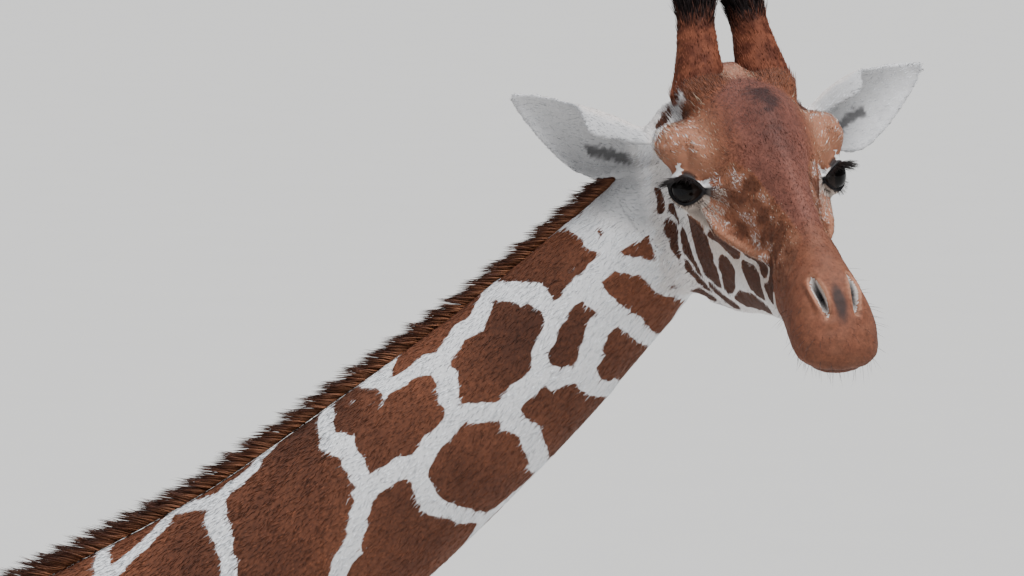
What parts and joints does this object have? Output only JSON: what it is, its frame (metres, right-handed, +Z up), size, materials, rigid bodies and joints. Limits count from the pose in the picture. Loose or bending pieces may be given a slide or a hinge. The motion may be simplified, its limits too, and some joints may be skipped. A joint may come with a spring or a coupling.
{
  "type": "reticulated giraffe model",
  "caption": "Life-size still model of a standing giraffe with a net-patterned coat, its neck reaching forward and its head turned to its right.",
  "frame": {"origin": "on the floor, under the middle of the whole animal's box", "axes": "+X the way the body faces, +Y its left side, +Z up"},
  "size_m": [3.085, 0.7058, 3.7231],
  "materials": {
    "coat": "short flat hair, brown patches on a near-white net",
    "pale_hair": "short white hair",
    "dark_hair": "coarse dark hair",
    "eye": "wet and dark",
    "hoof": "dull horn"
  },
  "bodies": {
    "root": {"ear_left": "pale_hair", "ear_right": "pale_hair", "eye_left": "eye", "eye_right": "eye", "head": "coat", "hoof_front_left": "hoof", "hoof_front_right": "hoof", "hoof_hind_left": "hoof", "hoof_hind_right": "hoof", "leg_front_left": "coat", "leg_front_right": "coat", "leg_hind_left": "coat", "leg_hind_right": "coat", "mane": "dark_hair", "neck": "coat", "ossicone_left": "coat", "ossicone_right": "coat", "tail": "coat", "tail_tuft": "dark_hair", "trunk": "coat"}
  },
  "joints": []
}
